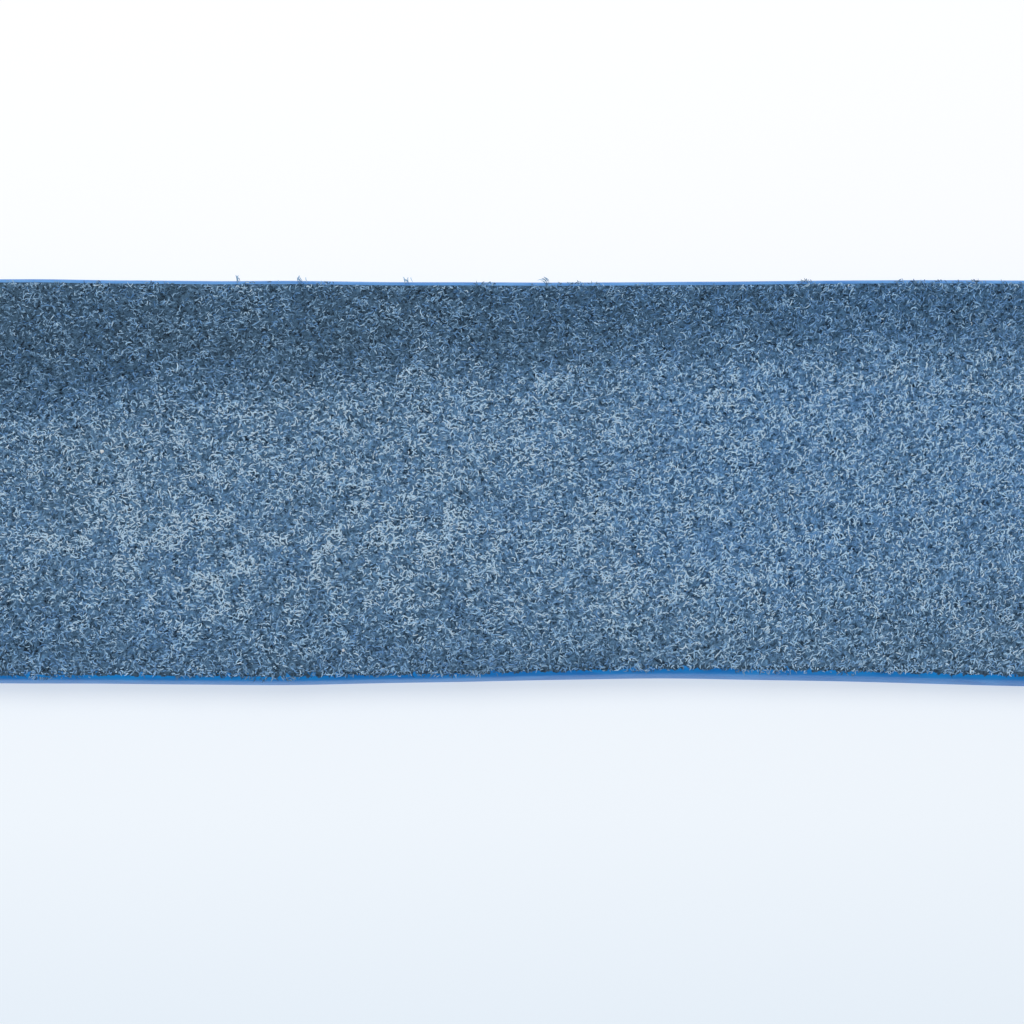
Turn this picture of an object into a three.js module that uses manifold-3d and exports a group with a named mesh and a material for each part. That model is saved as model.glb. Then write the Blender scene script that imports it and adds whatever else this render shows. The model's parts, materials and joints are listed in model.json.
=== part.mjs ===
// A hanging leather strop: a strap with its flesh side up, folded round a D-ring at one end,
// with a swivel bolt snap on the ring and a three-ply leather grip at the other end.
// It lies on a surface at z = 0, along X. Millimetres, +Z up. The snap hook points to -X.

import * as THREE from 'three';
import { mergeVertices } from 'three/addons/utils/BufferGeometryUtils.js';
import Module from 'manifold-3d';

// ---------------------------------------------------------------- driving dimensions

const STRAP_WIDTH = 50;
const STRAP_THICKNESS = 3.4;
const TAIL_LENGTH = 46;             // the part folded under, from the ring's bar to its end
const SHOULDER_START = 398;         // where the strap begins to narrow, from the ring's bar
const GRIP_START = 424;
const GRIP_LENGTH = 108;
const TONGUE_LENGTH = 40;           // the strap's narrow end, inside the grip

const GRIP_WIDTH = 32;
const GRIP_PLY = 2.2;
const GRIP_NOSE = 8;                // how far the plies' rounded ends reach out of their straight sides
const PLY_GAP = 0.2;

const SCREW_HEAD_RADIUS = 4.6;
const SCREW_HEAD_HEIGHT = 1.4;
const POST_RADIUS = 2.5;
const THREAD_RADIUS = 1.5;
const SCREW_SLOT = [1.0, 0.6];      // width and depth of the driver slot
const RUNNING_GAP = 0.3;            // clearance round posts, ring bar and bolt
const HANGER_SCREW_X = 24;
const HANGER_SCREW_Y = 13;
const GRIP_SCREWS_X = [12, 30];     // from the start of the grip

const RING_WIRE = 2.0;              // radius of the D-ring's wire
const RING_INSIDE = 51;             // clear width for the strap
const RING_CORNER = 3;              // bend radius of the wire's corners, on its centreline
const RING_BUTT_GAP = 0.4;          // the unwelded joint in the middle of the bar
const FOLD_RETURN_RADIUS = 10;

const EYE_RADIUS = 6;               // centreline radius of the swivel eye
const EYE_WIRE = 1.5;
const EYE_LEAN = THREE.MathUtils.degToRad(40);   // the eye leans over on its swivel as it lies
const STUD_RADIUS = 2.2;
const STUD_HEAD_RADIUS = 3.4;
const STUD_HEAD_HEIGHT = 2.2;

const BARREL_START = 9;             // distances along the snap from the centre of its eye
const BARREL_END = 48;
const BARREL_WALL = 3;              // the wall that the swivel stud passes through
const BORE_RADIUS = 3.7;
const BOLT_RADIUS = 3.4;
const BOLT_BACK = 34;
const BOLT_TRAVEL = 11;
const BOLT_NOSE = 1;                // chamfer of the bolt's front end
const THUMB_STUD_AT = 38;
const THUMB_STUD_RADIUS = 1.5;
const THUMB_KNOB_RADIUS = 3.6;
const THUMB_KNOB_HEIGHT = 2.4;
const HOOK_WIRE = 3.2;              // radius of the hook's round section
const HOOK_OFFSET = 16;             // from the barrel's axis to the hook's stem
const HOOK_TIP = 63;
const HOOK_CREST = 66;              // centre of the hook's round end

const SPRING_WIRE = 0.35;
const SPRING_RADIUS = 2.7;
const SPRING_TURNS = 7;

const ROUND_SIDES = 20;             // facets of small turned pieces
const WIRE_SIDES = 8;

// ---------------------------------------------------------------- levels and places that follow

const TAIL_BOTTOM = SCREW_HEAD_HEIGHT + 0.1;
const TAIL_TOP = TAIL_BOTTOM + STRAP_THICKNESS;
const MAIN_BOTTOM = TAIL_TOP + PLY_GAP;
const MAIN_TOP = MAIN_BOTTOM + STRAP_THICKNESS;
const BAR_HEIGHT = TAIL_TOP + RUNNING_GAP + RING_WIRE;

const GRIP_LOWER_BOTTOM = SCREW_HEAD_HEIGHT + 0.1;
const TONGUE_BOTTOM = GRIP_LOWER_BOTTOM + GRIP_PLY + PLY_GAP;
const GRIP_UPPER_BOTTOM = TONGUE_BOTTOM + STRAP_THICKNESS + PLY_GAP;
const GRIP_TOP = GRIP_UPPER_BOTTOM + GRIP_PLY;
const GRIP_END = GRIP_START + GRIP_LENGTH;
const TONGUE_END = GRIP_START + TONGUE_LENGTH;

const BARREL_RADIUS = EYE_RADIUS * Math.cos(EYE_LEAN) + EYE_WIRE;
const SNAP_HEIGHT = BARREL_RADIUS;
const STUD_HEAD_BACK = BARREL_START + BARREL_WALL + RUNNING_GAP;
const STUD_HEAD_FRONT = STUD_HEAD_BACK + STUD_HEAD_HEIGHT;
const RING_HALF_WIDTH = RING_INSIDE / 2 + RING_WIRE;
const RING_DEPTH = RING_CORNER + RING_HALF_WIDTH;
const EYE_SLACK = EYE_RADIUS * Math.cos(EYE_LEAN) - EYE_WIRE - RING_WIRE - RUNNING_GAP;
const RING_APEX_HEIGHT = SNAP_HEIGHT - EYE_SLACK;
const RING_DROOP = Math.asin((BAR_HEIGHT - RING_APEX_HEIGHT) / RING_DEPTH);
const EYE_X = -RING_DEPTH * Math.cos(RING_DROOP);
const SNAP_ROLL = Math.asin((BARREL_RADIUS - HOOK_WIRE) / HOOK_OFFSET);
const SNAP_END = EYE_X - HOOK_CREST - HOOK_OFFSET / 2 - HOOK_WIRE;
const MIDDLE_X = (GRIP_END + SNAP_END) / 2;

// ---------------------------------------------------------------- solids and booleans

const wasm = await Module();
wasm.setup();

function toSolid(geometry) {
  const bare = geometry.index ? geometry.toNonIndexed() : geometry.clone();
  bare.deleteAttribute('normal');
  bare.deleteAttribute('uv');
  const merged = mergeVertices(bare, 1e-4);
  const corners = merged.index.array;
  const kept = [];
  for (let i = 0; i < corners.length; i += 3) {
    const [a, b, c] = corners.slice(i, i + 3);
    if (a !== b && b !== c && c !== a) kept.push(a, b, c);
  }
  return new wasm.Manifold(new wasm.Mesh({
    numProp: 3,
    vertProperties: new Float32Array(merged.attributes.position.array),
    triVerts: new Uint32Array(kept),
  }));
}

function toGeometry(solid) {
  const mesh = solid.getMesh();
  const geometry = new THREE.BufferGeometry();
  geometry.setAttribute('position', new THREE.BufferAttribute(mesh.vertProperties, 3));
  geometry.setIndex(new THREE.BufferAttribute(mesh.triVerts, 1));
  geometry.computeVertexNormals();
  return geometry;
}

function cut(geometry, ...tools) {
  return toGeometry(tools.reduce((solid, tool) => solid.subtract(toSolid(tool)), toSolid(geometry)));
}

function join(geometry, ...others) {
  return toGeometry(others.reduce((solid, other) => solid.add(toSolid(other)), toSolid(geometry)));
}

function common(geometry, other) {
  return toGeometry(toSolid(geometry).intersect(toSolid(other)));
}

// ---------------------------------------------------------------- small shape helpers

// A solid of revolution about X, from [distance along X, radius] pairs that start and end on the axis.
function turned(profile, sides = ROUND_SIDES) {
  const points = profile.map(([along, radius]) => new THREE.Vector2(radius, along));
  return new THREE.LatheGeometry(points, sides).rotateZ(-Math.PI / 2);
}

function rod(radius, from, to, sides = ROUND_SIDES) {
  return turned([[from, 0], [from, radius], [to, radius], [to, 0]], sides);
}

// An upright round cutter, for a hole along Z.
function drill(radius, x, y) {
  const reach = 40;
  const upright = new THREE.CylinderGeometry(radius, radius, reach, ROUND_SIDES).rotateX(Math.PI / 2);
  return upright.translate(x, y, 0);
}

function box(from, to) {
  const size = to.map((value, i) => value - from[i]);
  const centre = to.map((value, i) => (value + from[i]) / 2);
  return new THREE.BoxGeometry(...size).translate(...centre);
}

function roundSection(radius, sides) {
  const section = new THREE.Shape();
  for (let i = 0; i < sides; i += 1) {
    const angle = (i + 0.5) * 2 * Math.PI / sides;
    const corner = [radius * Math.cos(angle), radius * Math.sin(angle)];
    if (i === 0) section.moveTo(...corner);
    else section.lineTo(...corner);
  }
  return section;
}

function wireAlong(path, radius, steps, sides = WIRE_SIDES) {
  const options = { steps, extrudePath: path, bevelEnabled: false, curveSegments: 1 };
  return new THREE.ExtrudeGeometry(roundSection(radius, sides), options);
}

// A flat leather ply: a plan outline with round holes, raised from one level to another.
function ply(outline, holes, bottom, thickness) {
  for (const [x, y, radius] of holes) {
    outline.holes.push(new THREE.Path().absarc(x, y, radius, 0, 2 * Math.PI));
  }
  const options = { depth: thickness, bevelEnabled: false, curveSegments: ROUND_SIDES };
  return new THREE.ExtrudeGeometry(outline, options).translate(0, 0, bottom);
}

// The side profile of a bent strip. Each move is a straight run or a bend (positive turns left),
// and the centreline they make is thickened to both sides.
function stripProfile(start, heading, moves, thickness) {
  const left = [];
  const right = [];
  const half = thickness / 2;
  let [x, z] = start;
  let angle = heading;
  const mark = () => {
    left.push(new THREE.Vector2(x - half * Math.sin(angle), z + half * Math.cos(angle)));
    right.push(new THREE.Vector2(x + half * Math.sin(angle), z - half * Math.cos(angle)));
  };
  mark();
  for (const { run, bend, radius } of moves) {
    const steps = run ? 1 : Math.ceil(Math.abs(bend) / (Math.PI / 15));
    const turn = run ? 0 : bend / steps;
    const chord = run ?? 2 * radius * Math.sin(Math.abs(turn) / 2);
    for (let i = 0; i < steps; i += 1) {
      angle += turn / 2;
      x += chord * Math.cos(angle);
      z += chord * Math.sin(angle);
      angle += turn / 2;
      mark();
    }
  }
  return new THREE.Shape([...left, ...right.reverse()]);
}

// ---------------------------------------------------------------- strap

// Two equal and opposite bends that carry a level strip down (or up) by a height.
function step(height, radius) {
  const angle = Math.acos(1 - Math.abs(height) / (2 * radius)) * Math.sign(height);
  return {
    length: 2 * radius * Math.sin(Math.abs(angle)),
    moves: [{ bend: angle, radius }, { bend: -angle, radius }],
  };
}

function strapSide() {
  const half = STRAP_THICKNESS / 2;
  const foldRadius = RING_WIRE + RUNNING_GAP + half;
  const foldDrop = TAIL_BOTTOM + half + 2 * foldRadius - (MAIN_BOTTOM + half);
  const foldExtra = Math.acos(1 - foldDrop / (foldRadius + FOLD_RETURN_RADIUS));
  const foldEnd = (foldRadius + FOLD_RETURN_RADIUS) * Math.sin(foldExtra);
  const down = step(-MAIN_BOTTOM, 40);
  const up = step(TONGUE_BOTTOM, 60);
  const riseStart = SHOULDER_START + 14 - up.length;
  const moves = [
    { run: TAIL_LENGTH },
    { bend: -(Math.PI + foldExtra), radius: foldRadius },
    { bend: foldExtra, radius: FOLD_RETURN_RADIUS },
    { run: TAIL_LENGTH - foldEnd },
    ...down.moves,
    { run: riseStart - TAIL_LENGTH - down.length },
    ...up.moves,
    { run: TONGUE_END - riseStart - up.length },
  ];
  return stripProfile([TAIL_LENGTH, TAIL_BOTTOM + half], Math.PI, moves, STRAP_THICKNESS);
}

// The strap seen from above: square at the fold, narrowing in a double curve to the tongue.
function strapPlan() {
  const wide = STRAP_WIDTH / 2;
  const narrow = GRIP_WIDTH / 2;
  const pastFold = -20;
  const bendAt = (SHOULDER_START + GRIP_START) / 2;
  const plan = new THREE.Shape();
  plan.moveTo(pastFold, -wide);
  plan.lineTo(SHOULDER_START, -wide);
  plan.bezierCurveTo(bendAt, -wide, bendAt, -narrow, GRIP_START, -narrow);
  plan.lineTo(TONGUE_END, -narrow);
  plan.lineTo(TONGUE_END, narrow);
  plan.lineTo(GRIP_START, narrow);
  plan.bezierCurveTo(bendAt, narrow, bendAt, wide, SHOULDER_START, wide);
  plan.lineTo(pastFold, wide);
  return plan;
}

function makeStrap() {
  const options = { depth: STRAP_WIDTH, bevelEnabled: false };
  const bent = new THREE.ExtrudeGeometry(strapSide(), options);
  bent.rotateX(Math.PI / 2).translate(0, STRAP_WIDTH / 2, 0);
  const plan = new THREE.ExtrudeGeometry(strapPlan(), { depth: 40, bevelEnabled: false, curveSegments: 8 });
  plan.translate(0, 0, -10);
  const holeRadius = POST_RADIUS + RUNNING_GAP;
  const hangerHoles = [-1, 1].map((side) => drill(holeRadius, HANGER_SCREW_X, side * HANGER_SCREW_Y));
  const gripHoles = GRIP_SCREWS_X.map((along) => drill(holeRadius, GRIP_START + along, 0));
  return cut(common(bent, plan), ...hangerHoles, ...gripHoles);
}

// ---------------------------------------------------------------- grip

// Straight sides with a rounded nose at one or both ends.
function gripPlan(from, to, noseAtStart) {
  const half = GRIP_WIDTH / 2;
  const bulge = GRIP_NOSE / 3;
  const start = noseAtStart ? from + GRIP_NOSE : from;
  const plan = new THREE.Shape();
  plan.moveTo(start, -half);
  plan.lineTo(to - GRIP_NOSE, -half);
  plan.bezierCurveTo(to + bulge, -half, to + bulge, half, to - GRIP_NOSE, half);
  plan.lineTo(start, half);
  if (noseAtStart) plan.bezierCurveTo(from - bulge, half, from - bulge, -half, start, -half);
  return plan;
}

function gripScrewHoles() {
  return GRIP_SCREWS_X.map((along) => [GRIP_START + along, 0, POST_RADIUS + RUNNING_GAP]);
}

function makeGripUpper() {
  return ply(gripPlan(GRIP_START, GRIP_END, true), gripScrewHoles(), GRIP_UPPER_BOTTOM, GRIP_PLY);
}

function makeGripLower() {
  return ply(gripPlan(GRIP_START, GRIP_END, true), gripScrewHoles(), GRIP_LOWER_BOTTOM, GRIP_PLY);
}

function makeGripCore() {
  return ply(gripPlan(TONGUE_END + RUNNING_GAP, GRIP_END, false), [], TONGUE_BOTTOM, STRAP_THICKNESS);
}

// ---------------------------------------------------------------- screw posts and screws

// The post's domed head is up, and its blind tapped hole opens downwards. Along X, head at the far end.
function makePost(grip) {
  const holeDepth = grip - 0.8;
  const blank = turned([
    [0.2, 0], [0.2, POST_RADIUS], [grip, POST_RADIUS], [grip, SCREW_HEAD_RADIUS],
    [grip + 0.8, SCREW_HEAD_RADIUS], [grip + SCREW_HEAD_HEIGHT, SCREW_HEAD_RADIUS - 1.4],
    [grip + SCREW_HEAD_HEIGHT, 0],
  ]);
  return cut(blank, rod(THREAD_RADIUS + 0.2, -1, holeDepth)).rotateY(-Math.PI / 2);
}

function makeScrew(grip) {
  const blank = turned([
    [-SCREW_HEAD_HEIGHT, 0], [-SCREW_HEAD_HEIGHT, SCREW_HEAD_RADIUS - 0.8], [-0.6, SCREW_HEAD_RADIUS],
    [0, SCREW_HEAD_RADIUS], [0, THREAD_RADIUS], [grip - 1.6, THREAD_RADIUS], [grip - 1.6, 0],
  ]);
  const [slotWidth, slotDepth] = SCREW_SLOT;
  const bottom = -SCREW_HEAD_HEIGHT;
  const slot = box([bottom - 1, -SCREW_HEAD_RADIUS - 1, -slotWidth / 2],
    [bottom + slotDepth, SCREW_HEAD_RADIUS + 1, slotWidth / 2]);
  return cut(blank, slot).rotateY(-Math.PI / 2);
}

// ---------------------------------------------------------------- ring

// A quarter circle in the XY plane, from one point to another, by way of the corner of their tangents.
function quarterTurn(from, corner, to) {
  const pull = 0.5523;              // cubic control length that makes a quarter circle
  return new THREE.CubicBezierCurve3(
    from, from.clone().lerp(corner, pull), to.clone().lerp(corner, pull), to);
}

// The D-ring lies along +X from its bar, with its bar along Y and the wire's butt joint mid-bar.
function makeRing() {
  const half = RING_HALF_WIDTH;
  const at = (x, y) => new THREE.Vector3(x, y, 0);
  const path = new THREE.CurvePath();
  path.add(new THREE.LineCurve3(at(0, RING_BUTT_GAP / 2), at(0, half - RING_CORNER)));
  path.add(quarterTurn(at(0, half - RING_CORNER), at(0, half), at(RING_CORNER, half)));
  path.add(quarterTurn(at(RING_CORNER, half), at(RING_DEPTH, half), at(RING_DEPTH, 0)));
  path.add(quarterTurn(at(RING_DEPTH, 0), at(RING_DEPTH, -half), at(RING_CORNER, -half)));
  path.add(quarterTurn(at(RING_CORNER, -half), at(0, -half), at(0, RING_CORNER - half)));
  path.add(new THREE.LineCurve3(at(0, RING_CORNER - half), at(0, -RING_BUTT_GAP / 2)));
  return wireAlong(path, RING_WIRE, 64, 10);
}

// ---------------------------------------------------------------- swivel snap, along +X from its eye

// The eye is upright here, in the XZ plane, with its headed stud along X.
function makeEye() {
  const eye = new THREE.TorusGeometry(EYE_RADIUS, EYE_WIRE, 10, 28).rotateX(Math.PI / 2);
  const inEye = EYE_RADIUS - 0.5;
  const stud = turned([
    [inEye, 0], [inEye, STUD_RADIUS], [STUD_HEAD_BACK, STUD_RADIUS],
    [STUD_HEAD_BACK, STUD_HEAD_RADIUS], [STUD_HEAD_FRONT, STUD_HEAD_RADIUS], [STUD_HEAD_FRONT, 0],
  ]);
  return join(eye, stud);
}

function hookPath() {
  const at = (x, y) => new THREE.Vector3(x, y, 0);
  const radius = HOOK_OFFSET / 2;
  const end = HOOK_CREST + radius;
  const root = at(BARREL_END - 10, HOOK_WIRE - BARREL_RADIUS);
  const stem = at(BARREL_END + 4, -HOOK_OFFSET);
  const path = new THREE.CurvePath();
  path.add(new THREE.CubicBezierCurve3(
    root, at(BARREL_END - 3, -BARREL_RADIUS), at(BARREL_END - 4, -HOOK_OFFSET), stem));
  path.add(new THREE.LineCurve3(stem, at(HOOK_CREST, -HOOK_OFFSET)));
  path.add(quarterTurn(at(HOOK_CREST, -HOOK_OFFSET), at(end, -HOOK_OFFSET), at(end, -radius)));
  path.add(quarterTurn(at(end, -radius), at(end, 0), at(HOOK_CREST, 0)));
  path.add(new THREE.LineCurve3(at(HOOK_CREST, 0), at(HOOK_TIP, 0)));
  return path;
}

function makeSnapBody() {
  const barrel = turned([
    [BARREL_START, 0], [BARREL_START, BARREL_RADIUS - 1.6], [BARREL_START + 1.6, BARREL_RADIUS],
    [BARREL_END - 1, BARREL_RADIUS], [BARREL_END, BARREL_RADIUS - 1], [BARREL_END, 0],
  ], 24);
  const hook = wireAlong(hookPath(), HOOK_WIRE, 44, 10);
  const studHole = rod(STUD_RADIUS + RUNNING_GAP, BARREL_START - 1, BARREL_START + BARREL_WALL + 1);
  const bore = rod(BORE_RADIUS, BARREL_START + BARREL_WALL, HOOK_TIP - RUNNING_GAP, 24);
  const slotHalf = THUMB_STUD_RADIUS + RUNNING_GAP;
  const slot = box([THUMB_STUD_AT - BOLT_TRAVEL - slotHalf, -slotHalf, 0],
    [THUMB_STUD_AT + slotHalf, slotHalf, BARREL_RADIUS + 1]);
  return cut(join(barrel, hook), studHole, bore, slot);
}

function makeBolt() {
  const front = HOOK_TIP - RUNNING_GAP;
  const blank = turned([
    [BOLT_BACK, 0], [BOLT_BACK, BOLT_RADIUS], [front - BOLT_NOSE, BOLT_RADIUS],
    [front, BOLT_RADIUS - BOLT_NOSE], [front, 0],
  ]);
  const depth = -BOLT_RADIUS / 2;
  const hole = rod(THUMB_STUD_RADIUS + RUNNING_GAP, depth, BOLT_RADIUS + 1, 12);
  return cut(blank, hole.rotateY(-Math.PI / 2).translate(THUMB_STUD_AT, 0, 0));
}

function makeThumbStud() {
  const bottom = RUNNING_GAP - BOLT_RADIUS / 2;
  const knob = BARREL_RADIUS + 0.6;
  const top = knob + THUMB_KNOB_HEIGHT;
  const stud = turned([
    [bottom, 0], [bottom, THUMB_STUD_RADIUS], [knob, THUMB_STUD_RADIUS], [knob, THUMB_KNOB_RADIUS],
    [top - 0.8, THUMB_KNOB_RADIUS], [top, THUMB_KNOB_RADIUS - 0.8], [top, 0],
  ], 16);
  return stud.rotateY(-Math.PI / 2).translate(THUMB_STUD_AT, 0, 0);
}

class Helix extends THREE.Curve {
  constructor(radius, turns, from, to) {
    super();
    Object.assign(this, { radius, turns, from, to });
  }

  getPoint(t, target = new THREE.Vector3()) {
    const angle = 2 * Math.PI * this.turns * t;
    const along = this.from + (this.to - this.from) * t;
    return target.set(along, this.radius * Math.cos(angle), this.radius * Math.sin(angle));
  }
}

function makeSpring() {
  const from = STUD_HEAD_FRONT + RUNNING_GAP + SPRING_WIRE;
  const to = BOLT_BACK - RUNNING_GAP - SPRING_WIRE;
  return wireAlong(new Helix(SPRING_RADIUS, SPRING_TURNS, from, to), SPRING_WIRE, SPRING_TURNS * 12, 5);
}

// ---------------------------------------------------------------- assembly

const FLESH_BLUE = { color: 0x5d7d9b, roughness: 0.95, metalness: 0 };
const GRAIN_BLUE = { color: 0x2f62ad, roughness: 0.5, metalness: 0 };
const NICKEL = { color: 0xc9c7c0, roughness: 0.25, metalness: 1 };
const SPRING_STEEL = { color: 0x9a9a98, roughness: 0.4, metalness: 1 };

function add(parent, name, geometry, finish, position = [0, 0, 0]) {
  const mesh = new THREE.Mesh(geometry, new THREE.MeshStandardMaterial(finish));
  mesh.name = name;
  mesh.position.set(...position);
  parent.add(mesh);
}

function addScrewPair(parent, name, number, x, y, bottom, top) {
  const grip = top - bottom;
  add(parent, `${name}_post_${number}`, makePost(grip + 0.1), NICKEL, [x, y, bottom]);
  add(parent, `${name}_screw_${number}`, makeScrew(grip), NICKEL, [x, y, bottom - 0.1]);
}

const group = new THREE.Group();
group.position.x = -MIDDLE_X;

add(group, 'strap', makeStrap(), FLESH_BLUE);
[-1, 1].forEach((side, i) => {
  addScrewPair(group, 'hanger', i + 1, HANGER_SCREW_X, side * HANGER_SCREW_Y, TAIL_BOTTOM, MAIN_TOP);
});

add(group, 'grip_upper', makeGripUpper(), GRAIN_BLUE);
add(group, 'grip_lower', makeGripLower(), GRAIN_BLUE);
add(group, 'grip_core', makeGripCore(), GRAIN_BLUE);
GRIP_SCREWS_X.forEach((along, i) => {
  addScrewPair(group, 'grip', i + 1, GRIP_START + along, 0, GRIP_LOWER_BOTTOM, GRIP_TOP);
});

// The ring hangs from its bar, pointing to -X and drooping to the eye that lies on the surface.
const ring = new THREE.Group();
ring.position.z = BAR_HEIGHT;
ring.rotation.set(0, RING_DROOP, Math.PI, 'ZYX');
add(ring, 'd_ring', makeRing(), NICKEL);
group.add(ring);

// The snap lies flat on its barrel, rolled over until the hook's stem touches the surface too.
const snap = new THREE.Group();
snap.position.set(EYE_X, 0, SNAP_HEIGHT);
snap.rotation.z = Math.PI;
const eye = new THREE.Group();
eye.rotation.x = EYE_LEAN;
add(eye, 'swivel_eye', makeEye(), NICKEL);
const rolled = new THREE.Group();
rolled.rotation.x = SNAP_ROLL;
add(rolled, 'snap_body', makeSnapBody(), NICKEL);
add(rolled, 'snap_bolt', makeBolt(), NICKEL);
add(rolled, 'thumb_stud', makeThumbStud(), NICKEL);
add(rolled, 'snap_spring', makeSpring(), SPRING_STEEL);
snap.add(eye, rolled);
group.add(snap);

export default group;
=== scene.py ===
"""A hanging leather strop lying flesh side up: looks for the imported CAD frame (Blender 4.5)."""
import json
import math

import bmesh
import bpy
import numpy as np
from mathutils import Matrix, Vector


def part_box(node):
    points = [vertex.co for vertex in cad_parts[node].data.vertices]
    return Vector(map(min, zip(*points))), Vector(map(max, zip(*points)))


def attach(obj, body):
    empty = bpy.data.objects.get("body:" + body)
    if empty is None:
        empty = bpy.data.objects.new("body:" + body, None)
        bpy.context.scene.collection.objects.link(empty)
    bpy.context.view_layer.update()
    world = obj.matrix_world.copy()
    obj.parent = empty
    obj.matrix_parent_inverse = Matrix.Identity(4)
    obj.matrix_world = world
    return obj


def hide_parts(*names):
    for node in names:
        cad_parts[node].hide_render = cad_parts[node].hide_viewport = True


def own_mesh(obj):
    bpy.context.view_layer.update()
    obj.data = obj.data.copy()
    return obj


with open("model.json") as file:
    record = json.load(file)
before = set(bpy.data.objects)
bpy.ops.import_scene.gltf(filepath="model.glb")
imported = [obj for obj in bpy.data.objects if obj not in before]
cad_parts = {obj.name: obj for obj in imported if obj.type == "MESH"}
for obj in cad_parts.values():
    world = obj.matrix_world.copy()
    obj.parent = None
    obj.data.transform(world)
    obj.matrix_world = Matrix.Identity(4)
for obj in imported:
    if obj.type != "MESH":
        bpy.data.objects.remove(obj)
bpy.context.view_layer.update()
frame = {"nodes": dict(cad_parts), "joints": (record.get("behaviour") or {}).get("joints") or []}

MM = 0.001
rng = np.random.default_rng(7)

# ---- sizes, in millimetres

STRAP_WIDTH = 50.0
STRAP_THICKNESS = 3.4
TAIL_LENGTH = 46.0
SHOULDER_START = 398.0
TONGUE_LENGTH = 40.0
GRIP_WIDTH = 32.0
GRIP_PLY = 2.2
GRIP_NOSE = 8.0
PLY_GAP = 0.2
RUNNING_GAP = 0.3
RING_WIRE = 2.0
FOLD_RETURN_RADIUS = 10.0
FOLD_DROP_RADIUS = 40.0
GRIP_RISE_RADIUS = 60.0
RISE_PAST_SHOULDER = 14.0

SCREW_HEAD_RADIUS = 4.6
SCREW_HEAD_HEIGHT = 1.4
POST_RADIUS = 2.5
THREAD_RADIUS = 1.5
SCREW_SLOT = (1.0, 0.6)
GRIP_SCREWS_X = (12.0, 30.0)
STITCH_INSET = 3.6
STITCH_PITCH = 5.0
STITCH_THREAD = 0.45          # radius

RING_HALF_WIDTH = 27.5
RING_CORNER = 3.0
RING_BUTT_GAP = 0.4
EYE_RADIUS = 6.0
EYE_WIRE = 1.5
STUD_RADIUS = 2.2
STUD_HEAD_RADIUS = 3.4
STUD_HEAD_HEIGHT = 2.2
BARREL_START = 9.0            # distances along the snap from the centre of its eye
BARREL_END = 48.0
BARREL_WALL = 3.0
BORE_RADIUS = 3.7
BOLT_RADIUS = 3.4
BOLT_BACK = 34.0
BOLT_TRAVEL = 11.0
THUMB_STUD_AT = 38.0
THUMB_STUD_RADIUS = 1.5
THUMB_KNOB_RADIUS = 3.6
THUMB_KNOB_HEIGHT = 2.4
HOOK_WIRE = 3.2
HOOK_OFFSET = 16.0
HOOK_TIP = 63.0
HOOK_CREST = 66.0
SPRING_WIRE = 0.35
SPRING_RADIUS = 2.7
SPRING_TURNS = 7

FLESH_COLUMNS = 76            # mesh columns across the strap's two sides
GRAIN_COLUMNS = 22
FLESH_CORNER = 0.6            # radii of the strap's worn corners
GRAIN_CORNER = 1.0
PLY_COLUMNS = 64
PLY_PITCH = 0.5
PLY_CORNER = 0.55
STITCH_GROOVE = (0.35, 0.75)  # depth and half width of the channel that the stitches lie in

# The nap. Fibre colours are display colours from 0 to 255, darkest first.
FIBRES_PER_MM2 = 9.5
FIBRE_STEPS = 3               # quads along one fibre
FRINGE_PER_MM = 7.0
NAP_START = 30.0              # from the end of the strap's tail
NAP_INSETS = (0.55, 0.72)     # from the near and the far edge of the flesh side
NAP_ZONES = 8
GREY_FIBRES = [
    (46, 70, 92), (66, 95, 122), (90, 125, 156), (117, 154, 187),
    (145, 181, 212), (174, 206, 231), (200, 224, 241),
]
BLUE_FIBRES = [
    (44, 78, 114), (62, 102, 144), (84, 128, 175), (110, 156, 205),
    (139, 184, 226), (169, 209, 240), (195, 226, 248),
]
FIBRE_CLASSES = len(GREY_FIBRES)
LINT_COLOUR = (226, 232, 236)
TUFT_PLACES = [0.222, 0.285, 0.392, 0.531]     # shares of the stretch in view, from its left end
LINT = [(0.094, 0.555, 0.5), (0.335, 0.065, 0.35), (0.62, 0.30, 0.25), (0.81, 0.71, 0.25), (1.6, 0.4, 0.4)]

SMOOTH_LIMIT = math.radians(35)      # sharper mesh edges than this are left crisp
FLOOR_GLOW = 0.64
KEY_POWER = 9.5
WORLD_STRENGTH = 0.9

joints = {joint["name"]: joint for joint in frame["joints"]}


def millimetres(point):
    return [value / MM for value in point]


def node_box(name):
    return [millimetres(corner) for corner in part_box(name)]


BAR_X, _, BAR_Z = millimetres(joints["ring_swing"]["pos_m"])
APEX_X, _, APEX_Z = millimetres(joints["eye_tilt"]["pos_m"])
SNAP_X, _, SNAP_Z = millimetres(joints["snap_swivel"]["pos_m"])
GRIP_LOWER, GRIP_UPPER = node_box("grip_lower"), node_box("grip_upper")
GRIP_X = GRIP_UPPER[0][0]
GRIP_LENGTH = GRIP_UPPER[1][0] - GRIP_X
GRIP_START = GRIP_X - BAR_X

TAIL_BOTTOM = BAR_Z - RING_WIRE - RUNNING_GAP - STRAP_THICKNESS
MAIN_BOTTOM = TAIL_BOTTOM + STRAP_THICKNESS + PLY_GAP
TONGUE_BOTTOM = GRIP_LOWER[1][2] + PLY_GAP
TONGUE_END = GRIP_START + TONGUE_LENGTH

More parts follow.
